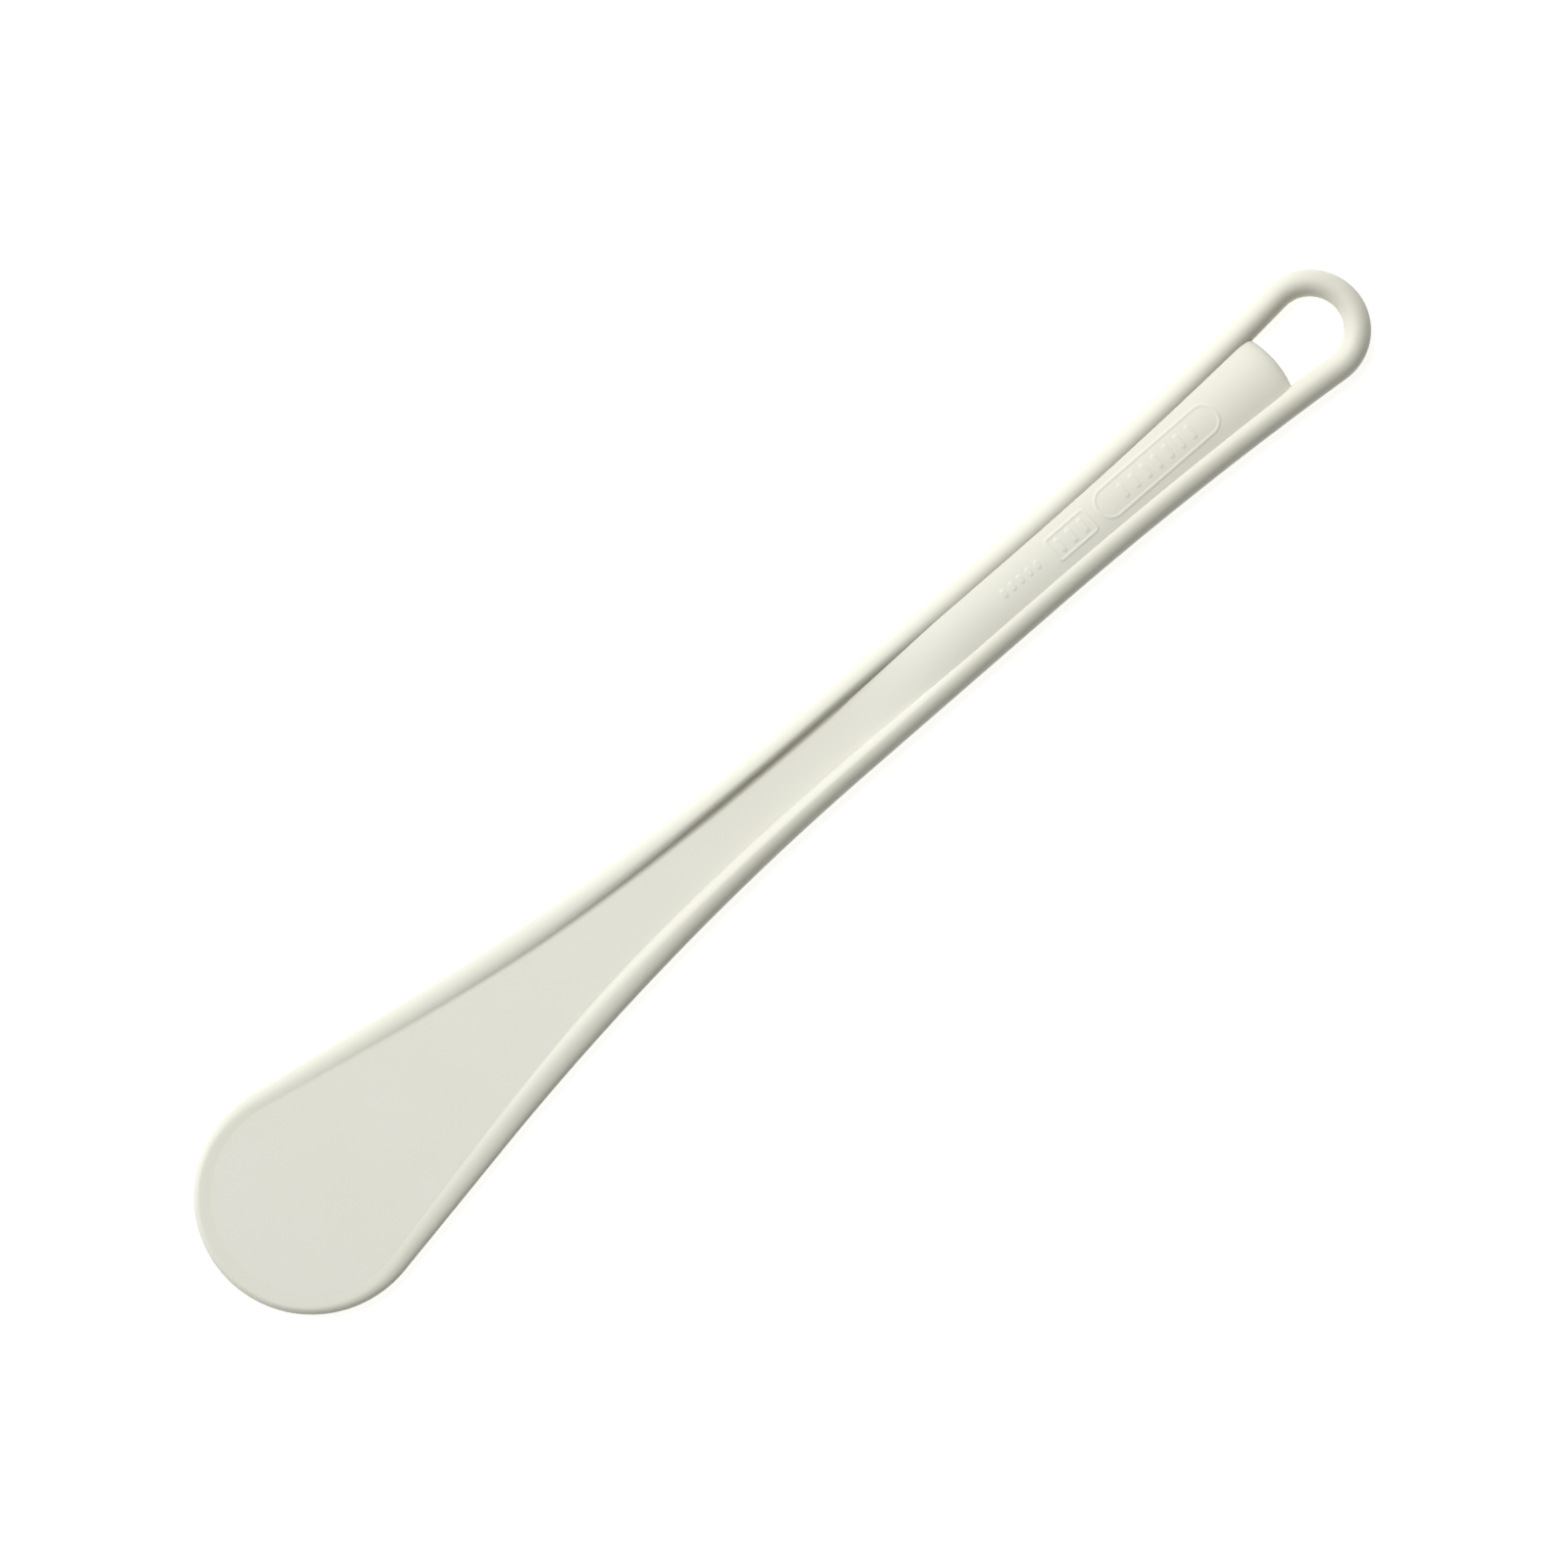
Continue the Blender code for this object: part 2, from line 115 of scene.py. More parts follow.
# The half width inside the crest, from the full core to the loop.
INNER_HALF_WIDTH = (
    (0.046, 0.00268),
    (0.070, 0.00265),
    (0.115, 0.00262),
    (0.130, 0.00260),
)
# The tables' corners are rounded off over this stretch.
SMOOTHED_OVER = np.linspace(-0.007, 0.007, 15)

CORE_CROWN = 0.0030
CORE_ROOF_RADIUS = 0.0200
CORE_START_X = 0.01385
CORE_FULL_X = 0.046
NOSE_START_X = 0.1215
NOSE_END_X = 0.1283
NOSE_PLAN_RADIUS = 0.020
NOSE_POWER = 3.0

MIDDLE_HEIGHT = CORE_CROWN
LOOP_START_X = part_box("hanging_loop")[0].x
# The web starts half a CAD gap past the bead's foot, and the core's sides sink this far into the bead.
FOOT_STRIP = 0.00015
CORE_SINK = 0.00015
# The mould halves leave a hairline ridge on the bead's outer and inner edge.
PARTING_RIDGE = 0.00005
PARTING_HALF_HEIGHT = 0.00009

# Raised generic marks on the core's front.
MARK_HEIGHT = 0.00009
MARK_EDGE = 0.00020
FRAME_STROKE = 0.00055
LONG_FRAME_X = (0.0810, 0.1124)
LONG_FRAME_HALF_WIDTH = 0.0035
LONG_FRAME_CORNER = 0.0033
SHORT_FRAME_X = (0.0688, 0.0792)
SHORT_FRAME_HALF_WIDTH = 0.0029
SHORT_FRAME_CORNER = 0.0009
LONG_PILLS = 7
SHORT_PILLS = 3
PILL_WIDTH = 0.0011
PILL_LENGTH = 0.0032
PILL_PITCH = 0.0030
DOT_ROW_X = (0.0556, 0.0654)
DOT_COUNT = 5
DOT_WIDTH = 0.0010
DOT_LENGTH = 0.0018

# The moulding's colour in linear light, a little greyer at the blade's tip than at the handle's end: this
# ramp is painted light, lighter where more light falls along the spatula.
# Painted light and shade: the web's colours are painted paler and cooler for light shining through the thin
# web, and the bead's are painted darker and yellower for the shade on its sides, though the moulding is one
# plastic.
WEB_TIP = (0.748, 0.741, 0.667)
MIDDLE = (0.806, 0.792, 0.704)
CORE_END = (0.813, 0.798, 0.700)
BEAD_TIP = (0.738, 0.727, 0.640)
BEAD_END = (0.754, 0.739, 0.645)
# Where the tip's, the middle's and the end's colours lie along X, the span of the painted light ramp.
TIP_X = -0.15
MIDDLE_X = CORE_START_X
END_X = 0.11
# Its clouds and fibre flecks are this much darker and paler.
CLOUD_TINT = (0.978, 0.975, 0.962)
FLECK_TINT = (1.055, 1.05, 1.065)

# Sizes of the plastic's patterns, in repeats per metre.
CLOUD_SCALE = 45
STREAK_SCALE = (30, 420, 420)
FLECK_SCALE = (1600, 3800, 3800)
GRAIN_SCALE = 3200
WAVE_SCALE = 110
# Streaks mix in up to this much of the darker tint, and flecks this much of the paler one.
STREAK_SHARE = 0.15
FLECK_SHARE = 0.5
# The flecks show only where their pattern passes through this range.
FLECK_RANGE = (0.62, 0.80)
PLASTIC_IOR = 1.42
ROUGHNESS_SPREAD = 0.05
GRAIN_DEPTH = 0.00004
WAVE_DEPTH = 0.00012
WAVE_STRENGTH = 0.35
# Roughness and strength of the mould texture, on the flat and domed areas and on the bead.
FIELD_FINISH = (0.64, 0.40)
BEAD_FINISH = (0.60, 0.15)

# How finely each stretch is divided.
TIP_STEPS = 120
FLANK_STEPS = 24
NECK_STEPS = 60
GRIP_STEPS = 40
FLARE_STEPS = 44
LOOP_LEAD_STEPS = 6
LOOP_STEPS = 64
BEAD_OUTER_STEPS = 14
BEAD_INNER_STEPS = 18
WEB_ACROSS_STEPS = 16
CORE_ACROSS_STEPS = 80
CORE_RISE_STEPS = 60
CORE_PLAIN_STEPS = 12
CORE_MARKED_STEPS = 480
CORE_AFTER_STEPS = 16
NOSE_STEPS = 40
SOLVE_STEPS = 40
SHARP_ANGLE = math.radians(35)
WELD_DISTANCE = 1e-7

# A point on the outline, with its outward normal's angle from +Y towards +X.
Station = namedtuple("Station", "x y angle")
# The bead's half height, its outer and inner half widths, the depth where its inner side meets the fillet,
# the fillet's radius, and the depth where the web begins.
Bead = namedtuple("Bead", "height outer inner join fillet foot")


# ------------------------------------------------------------------------------------ outline


def tip_centre_x():
    return TIP_RADIUS - LENGTH / 2


def grip_start_x():
    """Where the neck's arc, tangent to the flank, reaches the grip."""
    level = (GRIP_HALF_WIDTH + NECK_RADIUS) * math.cos(FLANK_ANGLE)
    return tip_centre_x() + (TIP_RADIUS + NECK_RADIUS - level) / math.sin(FLANK_ANGLE)


def loop_radius():
    """Radius of the end arc that is tangent to the flare and ends at the full length."""
    reach = LENGTH / 2 - FLARE_START_X
    height = GRIP_HALF_WIDTH + FLARE_RADIUS
    return (reach**2 + height**2 - FLARE_RADIUS**2) / (2 * (FLARE_RADIUS + reach))


def flare_angle(x):
    return math.asin((x - FLARE_START_X) / FLARE_RADIUS)


def flare_end_angle():
    reach = LENGTH / 2 - loop_radius() - FLARE_START_X
    return math.asin(reach / (FLARE_RADIUS + loop_radius()))


def arc(centre_x, centre_y, radius, start, end, steps):
    """Stations on an arc. A negative radius is a hollow stretch, with its centre outside the outline."""
    stations = []
    for step in range(steps + 1):
        angle = start + (end - start) * step / steps
        x = centre_x + radius * math.sin(angle)
        y = centre_y + radius * math.cos(angle)
        stations.append(Station(x, y, angle))
    return stations


def line(start, end, steps):
    """Stations on a straight stretch between two stations of equal angle."""
    stations = []
    for step in range(steps + 1):
        share = step / steps
        x = start.x + (end.x - start.x) * share
        y = start.y + (end.y - start.y) * share
        stations.append(Station(x, y, start.angle))
    return stations


def mirrored(stations):
    """The same stretch on the -Y side, in reverse order, so that it runs on into the +Y side."""
    return [Station(s.x, -s.y, math.pi - s.angle) for s in reversed(stations)]


def tip_stretch():
    return arc(tip_centre_x(), 0, TIP_RADIUS, -math.pi / 2, FLANK_ANGLE, TIP_STEPS)


def neck_stretch():
    centre_y = GRIP_HALF_WIDTH + NECK_RADIUS
    return arc(grip_start_x(), centre_y, -NECK_RADIUS, FLANK_ANGLE, 0, NECK_STEPS)


def flank_stretch():
    return line(tip_stretch()[-1], neck_stretch()[0], FLANK_STEPS)


def grip_stretch(start_x, end_x, steps):
    return line(Station(start_x, GRIP_HALF_WIDTH, 0), Station(end_x, GRIP_HALF_WIDTH, 0), steps)


def flare_stretch(start_angle, end_angle, steps):
    centre_y = GRIP_HALF_WIDTH + FLARE_RADIUS
    return arc(FLARE_START_X, centre_y, -FLARE_RADIUS, -start_angle, -end_angle, steps)


def handle_half_width(x):
    """The outline's half width along the grip and the flare."""
    if x <= FLARE_START_X:
        return GRIP_HALF_WIDTH
    return GRIP_HALF_WIDTH + FLARE_RADIUS * (1 - math.cos(flare_angle(x)))


# ------------------------------------------------------------------------------------ section


def smoothed(table, x):
    """Value at x in a table of (x, value), with its corners rounded off."""
    places, values = zip(*table)
    return float(np.mean(np.interp(x + SMOOTHED_OVER, places, values)))


def bead_at(x):
    """The bead's section at x. Its inner side and the fillet share a tangent and run out onto the web."""
    span = BEAD_GROWTH_END_X - BEAD_GROWTH_START_X
    growth = min(max((x - BEAD_GROWTH_START_X) / span, 0), 1)
    full_relief = BEAD_FULL_HEIGHT - WEB_HEIGHT
    height = WEB_HEIGHT + TIP_RELIEF + (full_relief - TIP_RELIEF) * growth**2
    outer = smoothed(CREST_DEPTH, x)
    if x >= CORE_FULL_X:
        inner = smoothed(INNER_HALF_WIDTH, x)
        return Bead(height, outer, inner, outer + inner, 0, outer + inner)
    reach = math.sqrt(1 - (WEB_HEIGHT / height) ** 2)
    inner = (smoothed(FOOT_DEPTH, x) - outer) / reach
    fillet = smoothed(FILLET_RADIUS, x)
    low, high = 0, math.pi / 2
    for _ in range(SOLVE_STEPS):
        lean = (low + high) / 2
        slope = math.atan(height / inner * math.tan(lean))
        if height * math.cos(lean) - fillet * (1 - math.cos(slope)) > WEB_HEIGHT:
            low = lean
        else:
            high = lean
    join = outer + inner * math.sin(lean)
    return Bead(height, outer, inner, join, fillet, join + fillet * math.sin(slope))


def bead_height(bead, depth):
    """Height of the bead and its fillet."""
    if depth <= bead.join:
        half_width = bead.outer if depth < bead.outer else bead.inner
        share = (depth - bead.outer) / half_width
        return bead.height * math.sqrt(max(1 - share**2, 0))
    if depth >= bead.foot:
        return WEB_HEIGHT if bead.fillet else 0
    return WEB_HEIGHT + bead.fillet - math.sqrt(bead.fillet**2 - (bead.foot - depth) ** 2)


def smooth_step(share):
    share = np.clip(share, 0, 1)
    return share**2 * (3 - 2 * share)


def nose_end_x(y):
    return NOSE_END_X - y**2 / (2 * NOSE_PLAN_RADIUS)


def core_height(x, y):
    """Height of the core's roof: flat on the web at its start, then a dome, rounded down at the nose."""
    dome = CORE_CROWN - CORE_ROOF_RADIUS + np.sqrt(CORE_ROOF_RADIUS**2 - y**2)
    rise = smooth_step((x - CORE_START_X) / (CORE_FULL_X - CORE_START_X))
    along_nose = np.clip((x - NOSE_START_X) / (nose_end_x(y) - NOSE_START_X), 0, 1)
    fall = (1 - along_nose**NOSE_POWER) ** (1 / NOSE_POWER)
    return (WEB_HEIGHT + rise * (dome - WEB_HEIGHT)) * fall


def core_edge_y(x):
    """Where the core's roof and the bead meet, on a cut across the handle at x."""
    bead = bead_at(x)
    outer = handle_half_width(x)
    low = bead.outer
    high = bead.foot
    for _ in range(SOLVE_STEPS):
        depth = (low + high) / 2
        if bead_height(bead, depth) > core_height(x, outer - depth):
            low = depth
        else:
            high = depth
    return outer - depth


# ------------------------------------------------------------------------------------ marks


def frame_distance(x, y, span, half_width, corner):
    """Distance to a round-cornered outline in plan, negative inside it."""
    centre_x = (span[0] + span[1]) / 2
    half_length = (span[1] - span[0]) / 2
    out_x = np.abs(x - centre_x) - (half_length - corner)
    out_y = np.abs(y) - (half_width - corner)
    outside = np.hypot(np.maximum(out_x, 0), np.maximum(out_y, 0))
    return outside + np.minimum(np.maximum(out_x, out_y), 0) - corner


def pill_distance(x, y, centre_x, width, length):
    reach = np.maximum(np.abs(y) - (length - width) / 2, 0)
    return np.hypot(x - centre_x, reach) - width / 2


def row_distance(x, y, centre_x, count, pitch, width, length):
    """Distance to the nearest of a row of pills."""
    nearest = np.full_like(x, 1.0)
    for index in range(count):
        pill_x = centre_x + (index - (count - 1) / 2) * pitch
        nearest = np.minimum(nearest, pill_distance(x, y, pill_x, width, length))
    return nearest


def mark_distance(x, y):
    """Distance to the nearest raised mark, negative on it."""
    found = []
    for span, half_width, corner in (
        (LONG_FRAME_X, LONG_FRAME_HALF_WIDTH, LONG_FRAME_CORNER),
        (SHORT_FRAME_X, SHORT_FRAME_HALF_WIDTH, SHORT_FRAME_CORNER),
    ):
        edge = frame_distance(x, y, span, half_width, corner) + FRAME_STROKE / 2
        found.append(np.abs(edge) - FRAME_STROKE / 2)
    for span, count in ((LONG_FRAME_X, LONG_PILLS), (SHORT_FRAME_X, SHORT_PILLS)):
        found.append(row_distance(x, y, sum(span) / 2, count, PILL_PITCH, PILL_WIDTH, PILL_LENGTH))
    dot_pitch = (DOT_ROW_X[1] - DOT_ROW_X[0] - DOT_WIDTH) / (DOT_COUNT - 1)
    found.append(row_distance(x, y, sum(DOT_ROW_X) / 2, DOT_COUNT, dot_pitch, DOT_WIDTH, DOT_LENGTH))
    return np.minimum.reduce(found)


def mark_rise(x, y):
    """How far the marks stand above the roof, with moulded, rounded shoulders."""
    return MARK_HEIGHT * smooth_step(0.5 - mark_distance(x, y) / (2 * MARK_EDGE))


# ------------------------------------------------------------------------------------ meshes


def inward(station, depth, height):
    x = station.x - depth * math.sin(station.angle)
    y = station.y - depth * math.cos(station.angle)
    return (x, y, MIDDLE_HEIGHT + height)


def bead_depths(bead, x):
    """Depths of the section's points, evenly turned over the bead and even in plan down to the web."""
    ridge_share = PARTING_HALF_HEIGHT / bead.height
    depths = [bead.outer * (1 - math.sqrt(1 - ridge_share**2))]
    for step in range(1, BEAD_OUTER_STEPS + 1):
        depths.append(bead.outer * (1 - math.cos(math.pi / 2 * step / BEAD_OUTER_STEPS)))
    for step in range(1, BEAD_INNER_STEPS + 1):
        share = step / BEAD_INNER_STEPS
        if x >= CORE_FULL_X:
            depths.append(bead.outer + bead.inner * math.sin(math.pi / 2 * share))
        else:
            depths.append(bead.outer + (bead.foot - bead.outer) * share)
    depths.append(bead.foot + (FOOT_STRIP if x < CORE_FULL_X else PARTING_RIDGE))
    return depths


def bead_ring(station):
    """The bead's section: parting ridge, bead, fillet, and an inner wall where the web joins on."""
    bead = bead_at(station.x)
    depths = bead_depths(bead, station.x)
    top = [inward(station, depth, bead_height(bead, depth)) for depth in depths]
    bottom = [(x, y, 2 * MIDDLE_HEIGHT - z) for x, y, z in reversed(top)]
    return [inward(station, -PARTING_RIDGE, 0), *top, *bottom]


def add_rows(mesh, rings, closed=True):
    """Vertices for each ring, joined to the next by quads."""
    rows = [[mesh.verts.new(point) for point in ring] for ring in rings]
    count = len(rows[0])
    for row, after in zip(rows, rows[1:]):
        for index in range(count if closed else count - 1):
            ahead = (index + 1) % count
            mesh.faces.new((row[index], row[ahead], after[ahead], after[index]))
    return rows


def to_object(name, mesh, material):
    bmesh.ops.remove_doubles(mesh, verts=mesh.verts, dist=WELD_DISTANCE)
    bmesh.ops.dissolve_degenerate(mesh, edges=mesh.edges, dist=WELD_DISTANCE)
    bmesh.ops.recalc_face_normals(mesh, faces=mesh.faces)
    data = bpy.data.meshes.new(name)
    mesh.to_mesh(data)
    mesh.free()
    data.shade_smooth()
    data.set_sharp_from_angle(angle=SHARP_ANGLE)
    data.materials.append(material)
    piece = bpy.data.objects.new(name, data)
    bpy.context.scene.collection.objects.link(piece)
    return piece


def swept(name, path, material, turn=1):
    """A bead along a path of stations, flat at both ends. turn is -1 for the right-hand side."""
    mesh = bmesh.new()
    rings = [[(x, turn * y, z) for x, y, z in bead_ring(station)] for station in path]
    rows = add_rows(mesh, rings)
    mesh.faces.new(rows[0])
    mesh.faces.new(rows[-1])
    return to_object(name, mesh, material)


def make_lip(material):
    half = tip_stretch()
    return swept("tip_edge", mirrored(half)[:-1] + half, material)


def make_rail(name, turn, material):
    path = flank_stretch()
    path += neck_stretch()[1:]
    path += grip_stretch(grip_start_x(), FLARE_START_X, GRIP_STEPS)[1:]
    path += flare_stretch(0, flare_angle(LOOP_START_X), FLARE_STEPS)[1:]
    return swept(name, path, material, turn)


def make_loop(material):
    half = flare_stretch(flare_angle(LOOP_START_X), flare_end_angle(), LOOP_LEAD_STEPS)
    centre_x = LENGTH / 2 - loop_radius()
    half += arc(centre_x, 0, loop_radius(), -flare_end_angle(), math.pi / 2, LOOP_STEPS)[1:]
    return swept("hanging_bow", half + mirrored(half)[1:], material)


def make_web(material):
    """The flat web, a ladder of quads between the feet of the two sides."""
    half = tip_stretch() + flank_stretch()[1:] + neck_stretch()[1:]
    half += grip_stretch(grip_start_x(), CORE_START_X, 2)[1:]
    rows = []
    for station in half:
        x, edge_y, _ = inward(station, bead_at(station.x).foot + FOOT_STRIP, 0)
        across = [edge_y * (2 * step / WEB_ACROSS_STEPS - 1) for step in range(WEB_ACROSS_STEPS + 1)]
        top = [(x, y, MIDDLE_HEIGHT + WEB_HEIGHT) for y in across]
        bottom = [(x, y, MIDDLE_HEIGHT - WEB_HEIGHT) for y in reversed(across)]
        rows.append(top + bottom)
    mesh = bmesh.new()
    made = add_rows(mesh, rows)
    mesh.faces.new(made[-1])
    return to_object("blade_plate", mesh, material)


def core_points(x):
    edge = core_edge_y(x) + CORE_SINK
    y = np.linspace(-edge, edge, CORE_ACROSS_STEPS + 1)
    return np.full_like(y, x), y


def nose_points(share):
    """Points across the nose at a share of its length, bent like its end."""
    edge_x = NOSE_START_X
    for _ in range(SOLVE_STEPS):
        edge_y = core_edge_y(edge_x) + CORE_SINK
        edge_x = NOSE_START_X + share * (nose_end_x(edge_y) - NOSE_START_X)
    y = np.linspace(-edge_y, edge_y, CORE_ACROSS_STEPS + 1)
    return NOSE_START_X + share * (nose_end_x(y) - NOSE_START_X), y


def core_cuts():
    """Cuts through the core, closest together over the marks."""
    marks_start = DOT_ROW_X[0] - 2 * MARK_EDGE
    marks_end = LONG_FRAME_X[1] + 2 * MARK_EDGE
    places = [
        *np.linspace(CORE_START_X, CORE_FULL_X, CORE_RISE_STEPS, endpoint=False),
        *np.linspace(CORE_FULL_X, marks_start, CORE_PLAIN_STEPS, endpoint=False),
        *np.linspace(marks_start, marks_end, CORE_MARKED_STEPS, endpoint=False),
        *np.linspace(marks_end, NOSE_START_X, CORE_AFTER_STEPS, endpoint=False),
    ]
    cuts = [core_points(x) for x in places]
    for step in range(NOSE_STEPS + 1):
        cuts.append(nose_points(math.sin(math.pi / 2 * step / NOSE_STEPS)))
    return cuts


def make_core(material):
    rings = []
    for x, y in core_cuts():
        roof = core_height(x, y)
        front = MIDDLE_HEIGHT + roof + mark_rise(x, y)
        back = MIDDLE_HEIGHT - roof
        ring = list(zip(x, y, front)) + list(zip(x[::-1], y[::-1], back[::-1]))
        rings.append(ring)
    mesh = bmesh.new()
    rows = add_rows(mesh, rings)
    mesh.faces.new(rows[0])
    return to_object("grip_core", mesh, material)


# ------------------------------------------------------------------------------------ materials


def new_material(name):
    material = bpy.data.materials.new(name)
    material.use_nodes = True
    nodes = material.node_tree.nodes
    return material, nodes, material.node_tree.links, nodes["Principled BSDF"]


def noise(nodes, links, vector, scale, detail, roughness=0.5):
    texture = nodes.new("ShaderNodeTexNoise")
    texture.inputs["Scale"].default_value = scale
    texture.inputs["Detail"].default_value = detail
    texture.inputs["Roughness"].default_value = roughness
    links.new(vector, texture.inputs["Vector"])
    return texture.outputs["Fac"]


def stretched(nodes, links, vector, scale):
    mapping = nodes.new("ShaderNodeMapping")
    mapping.inputs["Scale"].default_value = scale
    links.new(vector, mapping.inputs["Vector"])
    return mapping.outputs["Vector"]


def ranged(nodes, links, value, low, high, start=0.3, end=0.7):
    """Maps a pattern's middle stretch to low to high."""
    node = nodes.new("ShaderNodeMapRange")
    node.inputs["From Min"].default_value = start
    node.inputs["From Max"].default_value = end
    node.inputs["To Min"].default_value = low
    node.inputs["To Max"].default_value = high
    links.new(value, node.inputs["Value"])
    return node.outputs["Result"]


def blended(nodes, links, factor, first, second):
    """Colour between two colours or sockets."""
    mix = nodes.new("ShaderNodeMix")
    mix.data_type = "RGBA"
    links.new(factor, mix.inputs["Factor"])
    for socket, value in ((mix.inputs["A"], first), (mix.inputs["B"], second)):
        if isinstance(value, tuple):
            socket.default_value = (*value, 1)
        else:
            links.new(value, socket)
    return mix.outputs["Result"]


def bump(nodes, links, height, strength, distance, below=None):
    node = nodes.new("ShaderNodeBump")
    node.inputs["Strength"].default_value = strength
    node.inputs["Distance"].default_value = distance
    links.new(height, node.inputs["Height"])
    if below is not None:
        links.new(below, node.inputs["Normal"])
    return node.outputs["Normal"]


def tinted(colour, tint):
    return tuple(channel * share for channel, share in zip(colour, tint))


def ivory_plastic(name, first, last, stretch, finish):
    """Satin glass-filled plastic with soft clouds, flow streaks along X, fibre flecks and a mould texture.

    Its colour goes from first to last over the stretch of X, a painted light ramp that is lighter towards
    the handle."""
    material, nodes, links, shader = new_material(name)
    roughness, texture_strength = finish
    place = nodes.new("ShaderNodeTexCoord").outputs["Object"]
    clouds = noise(nodes, links, place, CLOUD_SCALE, 3)
    streaks = noise(nodes, links, stretched(nodes, links, place, STREAK_SCALE), 1, 3)
    flecks = noise(nodes, links, stretched(nodes, links, place, FLECK_SCALE), 1, 2, 0.7)
    grain = noise(nodes, links, place, GRAIN_SCALE, 3, 0.65)
    waves = noise(nodes, links, place, WAVE_SCALE, 2)
    along = nodes.new("ShaderNodeSeparateXYZ")
    links.new(place, along.inputs["Vector"])
    # Painted light: the colour goes lighter along X, where more light falls towards the handle.
    share = ranged(nodes, links, along.outputs["X"], 0, 1, *stretch)
    pale = blended(nodes, links, share, first, last)
    deep = blended(nodes, links, share, tinted(first, CLOUD_TINT), tinted(last, CLOUD_TINT))
    fleck = blended(nodes, links, share, tinted(first, FLECK_TINT), tinted(last, FLECK_TINT))
    colour = blended(nodes, links, ranged(nodes, links, clouds, 0, 1), deep, pale)
    colour = blended(nodes, links, ranged(nodes, links, streaks, 0, STREAK_SHARE), colour, deep)
    fleck_share = ranged(nodes, links, flecks, 0, FLECK_SHARE, *FLECK_RANGE)
    links.new(blended(nodes, links, fleck_share, colour, fleck), shader.inputs["Base Color"])
    low = roughness - ROUGHNESS_SPREAD
    high = roughness + ROUGHNESS_SPREAD
    links.new(ranged(nodes, links, clouds, low, high), shader.inputs["Roughness"])
    shader.inputs["IOR"].default_value = PLASTIC_IOR
    fine = bump(nodes, links, grain, texture_strength, GRAIN_DEPTH)
    wavy = bump(nodes, links, waves, WAVE_STRENGTH, WAVE_DEPTH, fine)
    links.new(wavy, shader.inputs["Normal"])
    return material


def floor_material():
    """White studio table that gives off part of its own light, so that it photographs as plain white."""
    material, nodes, links, shader = new_material("studio_table")
    place = nodes.new("ShaderNodeTexCoord").outputs["Object"]
    paper = noise(nodes, links, place, TABLE_GRAIN_SCALE, 2)
    tone = blended(nodes, links, ranged(nodes, links, paper, 0, 1), TABLE_DARK, TABLE_PALE)
    links.new(tone, shader.inputs["Base Color"])
    shader.inputs["Roughness"].default_value = TABLE_ROUGHNESS
    shader.inputs["Specular IOR Level"].default_value = TABLE_SPECULAR
    shader.inputs["Emission Color"].default_value = (*TABLE_GLOW, 1)
    shader.inputs["Emission Strength"].default_value = TABLE_GLOW_STRENGTH
    return material


# ------------------------------------------------------------------------------------ stage


PICTURE_TURN = math.radians(41.11)
CAMERA_ELEVATION = math.radians(84)
FOCAL_LENGTH = 200
SENSOR_WIDTH = 36
FRAME_WIDTH = 0.31274
AIM_RIGHT = -0.00167
AIM_UP = -0.00101

KEY_DIRECTION = Vector((-0.12, 0.70, 1.0))
KEY_DISTANCE = 3.0
KEY_SIZE = 2.4
KEY_WATTS = 93.5
KEY_COLOUR = (1.0, 1.0, 1.0)

# Light all round, from the -Y side to the +Y side. Its strength grows with a power of the share of the way.
NEAR_COLOUR = (1.0, 0.97, 0.76)
FAR_COLOUR = (0.86, 0.93, 1.0)
NEAR_STRENGTH = 0.06
FAR_STRENGTH = 0.71
SURROUND_REACH = 0.8
SURROUND_POWER = 3
BACKDROP_COLOUR = (0.86, 0.86, 0.85)

TABLE_SIZE = 6
TABLE_GRAIN_SCALE = 900
TABLE_DARK = (0.26, 0.26, 0.26)
TABLE_PALE = (0.28, 0.28, 0.28)
TABLE_ROUGHNESS = 0.9
TABLE_SPECULAR = 0.1
TABLE_GLOW = (1, 0.995, 0.97)
TABLE_GLOW_STRENGTH = 0.88


def make_floor():
    bpy.ops.mesh.primitive_plane_add(size=TABLE_SIZE, location=(0, 0, 0))
    floor = bpy.context.object
    floor.name = "studio_floor"
    floor.data.materials.append(floor_material())


def make_camera():
    """Looks down on the spatula, its long axis rising to the right across the picture."""
    right = Vector((math.cos(PICTURE_TURN), -math.sin(PICTURE_TURN), 0))
    ahead = Vector((math.sin(PICTURE_TURN), math.cos(PICTURE_TURN), 0))
    target = right * AIM_RIGHT + ahead * AIM_UP + Vector((0, 0, MIDDLE_HEIGHT))
    back = Vector((0, 0, math.sin(CAMERA_ELEVATION))) - ahead * math.cos(CAMERA_ELEVATION)
    up = back.cross(right)
    turned = Matrix((right, up, back)).transposed().to_4x4()
    distance = FRAME_WIDTH * FOCAL_LENGTH / SENSOR_WIDTH
    data = bpy.data.cameras.new("camera")
    data.lens = FOCAL_LENGTH
    data.sensor_width = SENSOR_WIDTH
    camera = bpy.data.objects.new("camera", data)
    camera.matrix_world = Matrix.Translation(target + back * distance) @ turned
    bpy.context.scene.collection.objects.link(camera)
    bpy.context.scene.camera = camera


def make_key_light():
    data = bpy.data.lights.new("key", "AREA")
    data.shape = "DISK"
    data.size = KEY_SIZE
    data.energy = KEY_WATTS
    data.color = KEY_COLOUR
    light = bpy.data.objects.new("key", data)
    light.location = KEY_DIRECTION.normalized() * KEY_DISTANCE
    light.rotation_euler = KEY_DIRECTION.to_track_quat("Z", "Y").to_euler()
    bpy.context.scene.collection.objects.link(light)


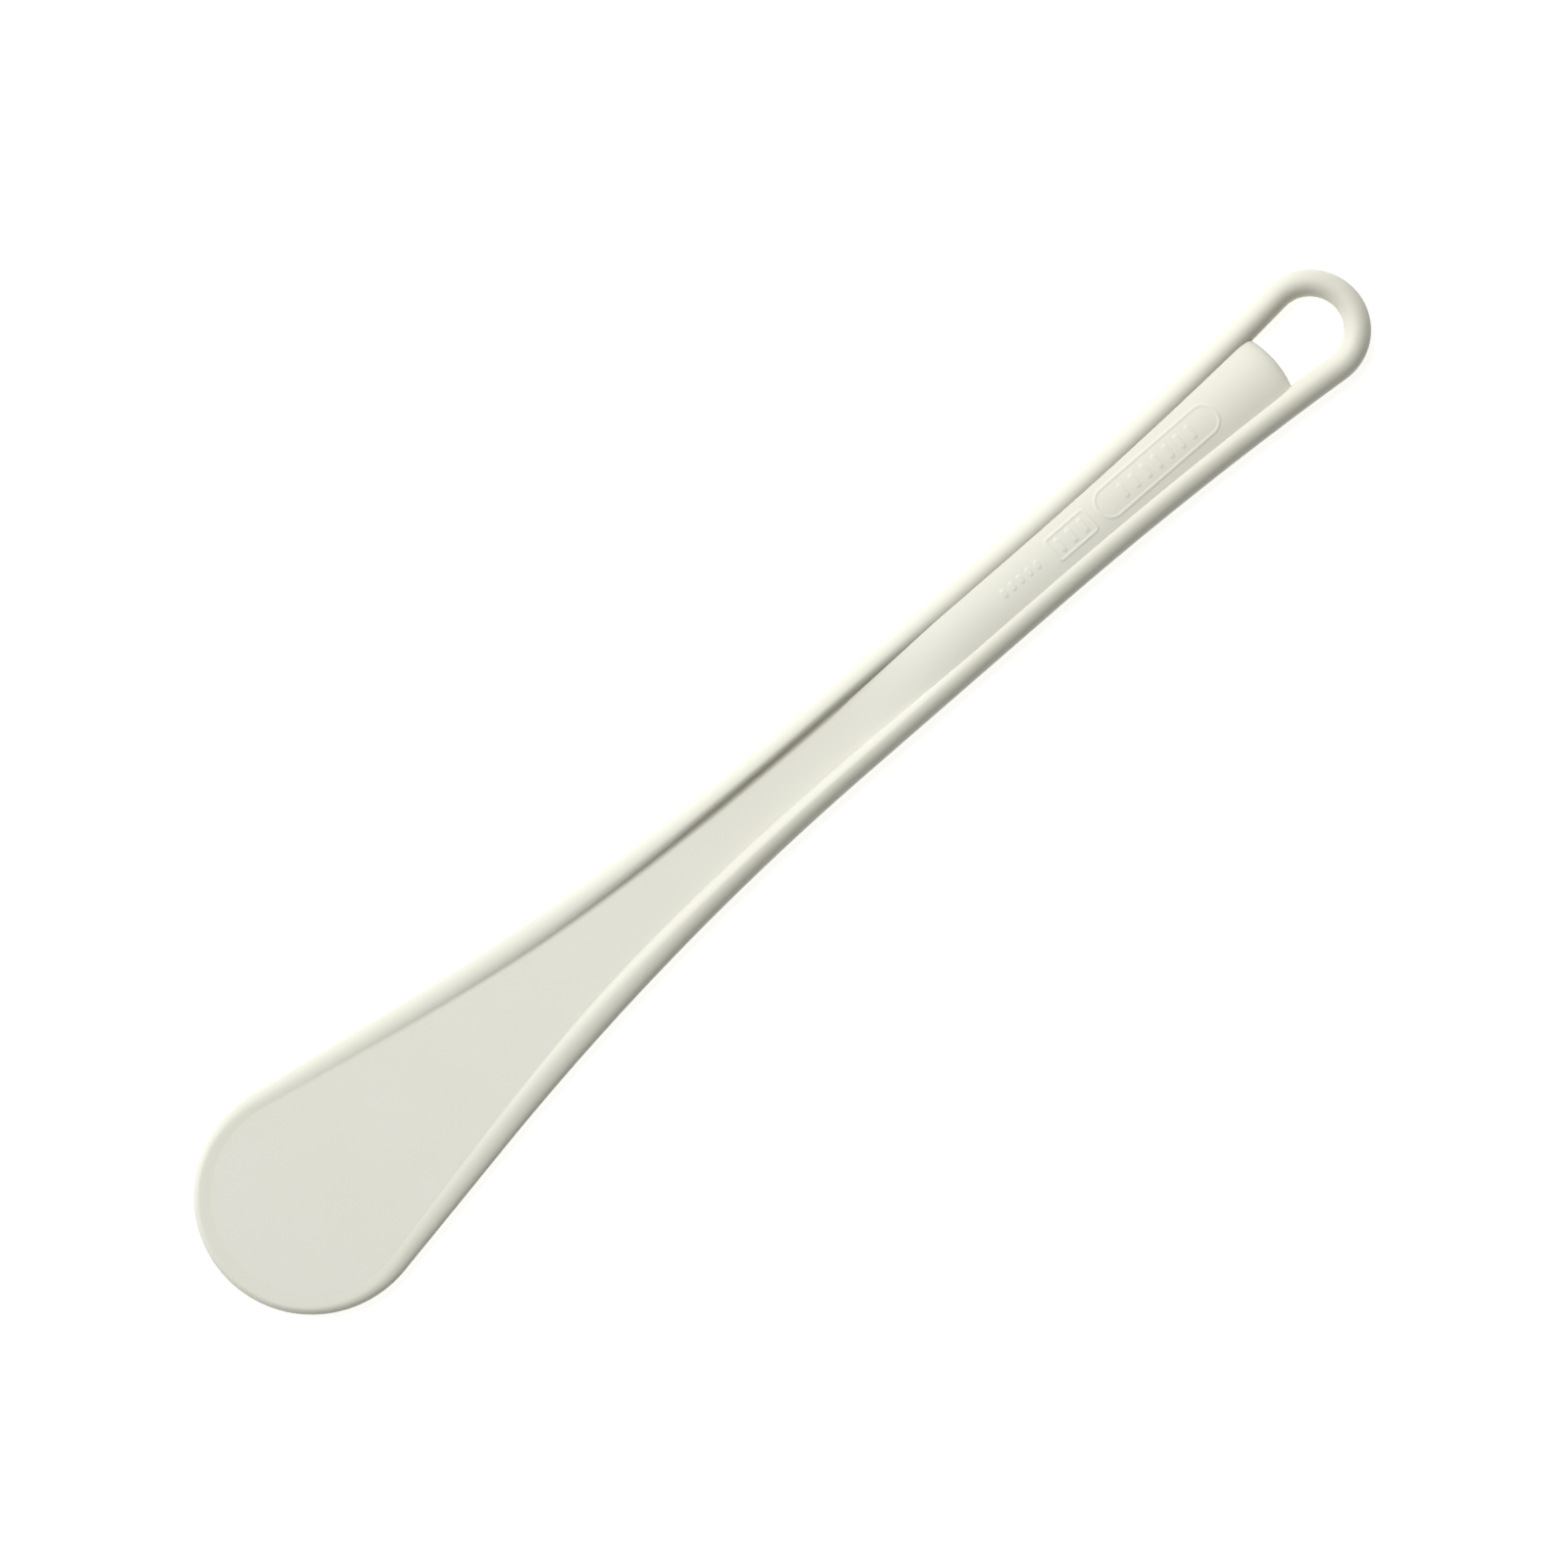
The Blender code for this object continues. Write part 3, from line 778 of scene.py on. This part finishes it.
def make_world():
    """Weak light all round, strongest on the +Y side. The camera sees a plain pale backdrop instead."""
    world = bpy.data.worlds.new("studio")
    world.use_nodes = True
    nodes = world.node_tree.nodes
    links = world.node_tree.links
    across = nodes.new("ShaderNodeSeparateXYZ")
    links.new(nodes.new("ShaderNodeTexCoord").outputs["Generated"], across.inputs["Vector"])
    share = ranged(nodes, links, across.outputs["Y"], 0, 1, -SURROUND_REACH, SURROUND_REACH)
    rise = nodes.new("ShaderNodeMath")
    rise.operation = "POWER"
    rise.inputs[1].default_value = SURROUND_POWER
    links.new(share, rise.inputs[0])
    surround = nodes["Background"]
    links.new(blended(nodes, links, share, NEAR_COLOUR, FAR_COLOUR), surround.inputs["Color"])
    strength = ranged(nodes, links, rise.outputs["Value"], NEAR_STRENGTH, FAR_STRENGTH, 0, 1)
    links.new(strength, surround.inputs["Strength"])
    backdrop = nodes.new("ShaderNodeBackground")
    backdrop.inputs["Color"].default_value = (*BACKDROP_COLOUR, 1)
    seen = nodes.new("ShaderNodeMixShader")
    links.new(nodes.new("ShaderNodeLightPath").outputs["Is Camera Ray"], seen.inputs["Fac"])
    links.new(surround.outputs["Background"], seen.inputs[1])
    links.new(backdrop.outputs["Background"], seen.inputs[2])
    links.new(seen.outputs["Shader"], nodes["World Output"].inputs["Surface"])
    bpy.context.scene.world = world


def finish_piece(piece, slot, *nodes):
    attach(piece, BODY)
    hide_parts(*nodes)


def main():
    make_camera()
    make_key_light()
    make_world()
    bpy.context.scene.view_settings.view_transform = "Standard"
    make_floor()
    # Painted light: each plastic's colour is ramped lighter along X, from the blade's tip to the handle's
    # end.
    backlit_web_plastic = ivory_plastic("backlit_web_plastic", WEB_TIP, MIDDLE, (TIP_X, MIDDLE_X), FIELD_FINISH)
    core_plastic = ivory_plastic("core_plastic", MIDDLE, CORE_END, (MIDDLE_X, END_X), FIELD_FINISH)
    # Painted shade: the bead's copy of the plastic is darker and yellower than the web's and the core's.
    shaded_bead_plastic = ivory_plastic("shaded_bead_plastic", BEAD_TIP, BEAD_END, (TIP_X, END_X), BEAD_FINISH)
    finish_piece(make_web(backlit_web_plastic), "ivory_web", "blade_web")
    finish_piece(make_lip(shaded_bead_plastic), "ivory_bead", "tip_lip")
    finish_piece(make_rail("left_bead", 1, shaded_bead_plastic), "ivory_bead", "left_rail")
    finish_piece(make_rail("right_bead", -1, shaded_bead_plastic), "ivory_bead", "right_rail")
    finish_piece(make_core(core_plastic), "ivory_core", "handle_core")
    finish_piece(make_loop(shaded_bead_plastic), "ivory_bead", "hanging_loop")


main()
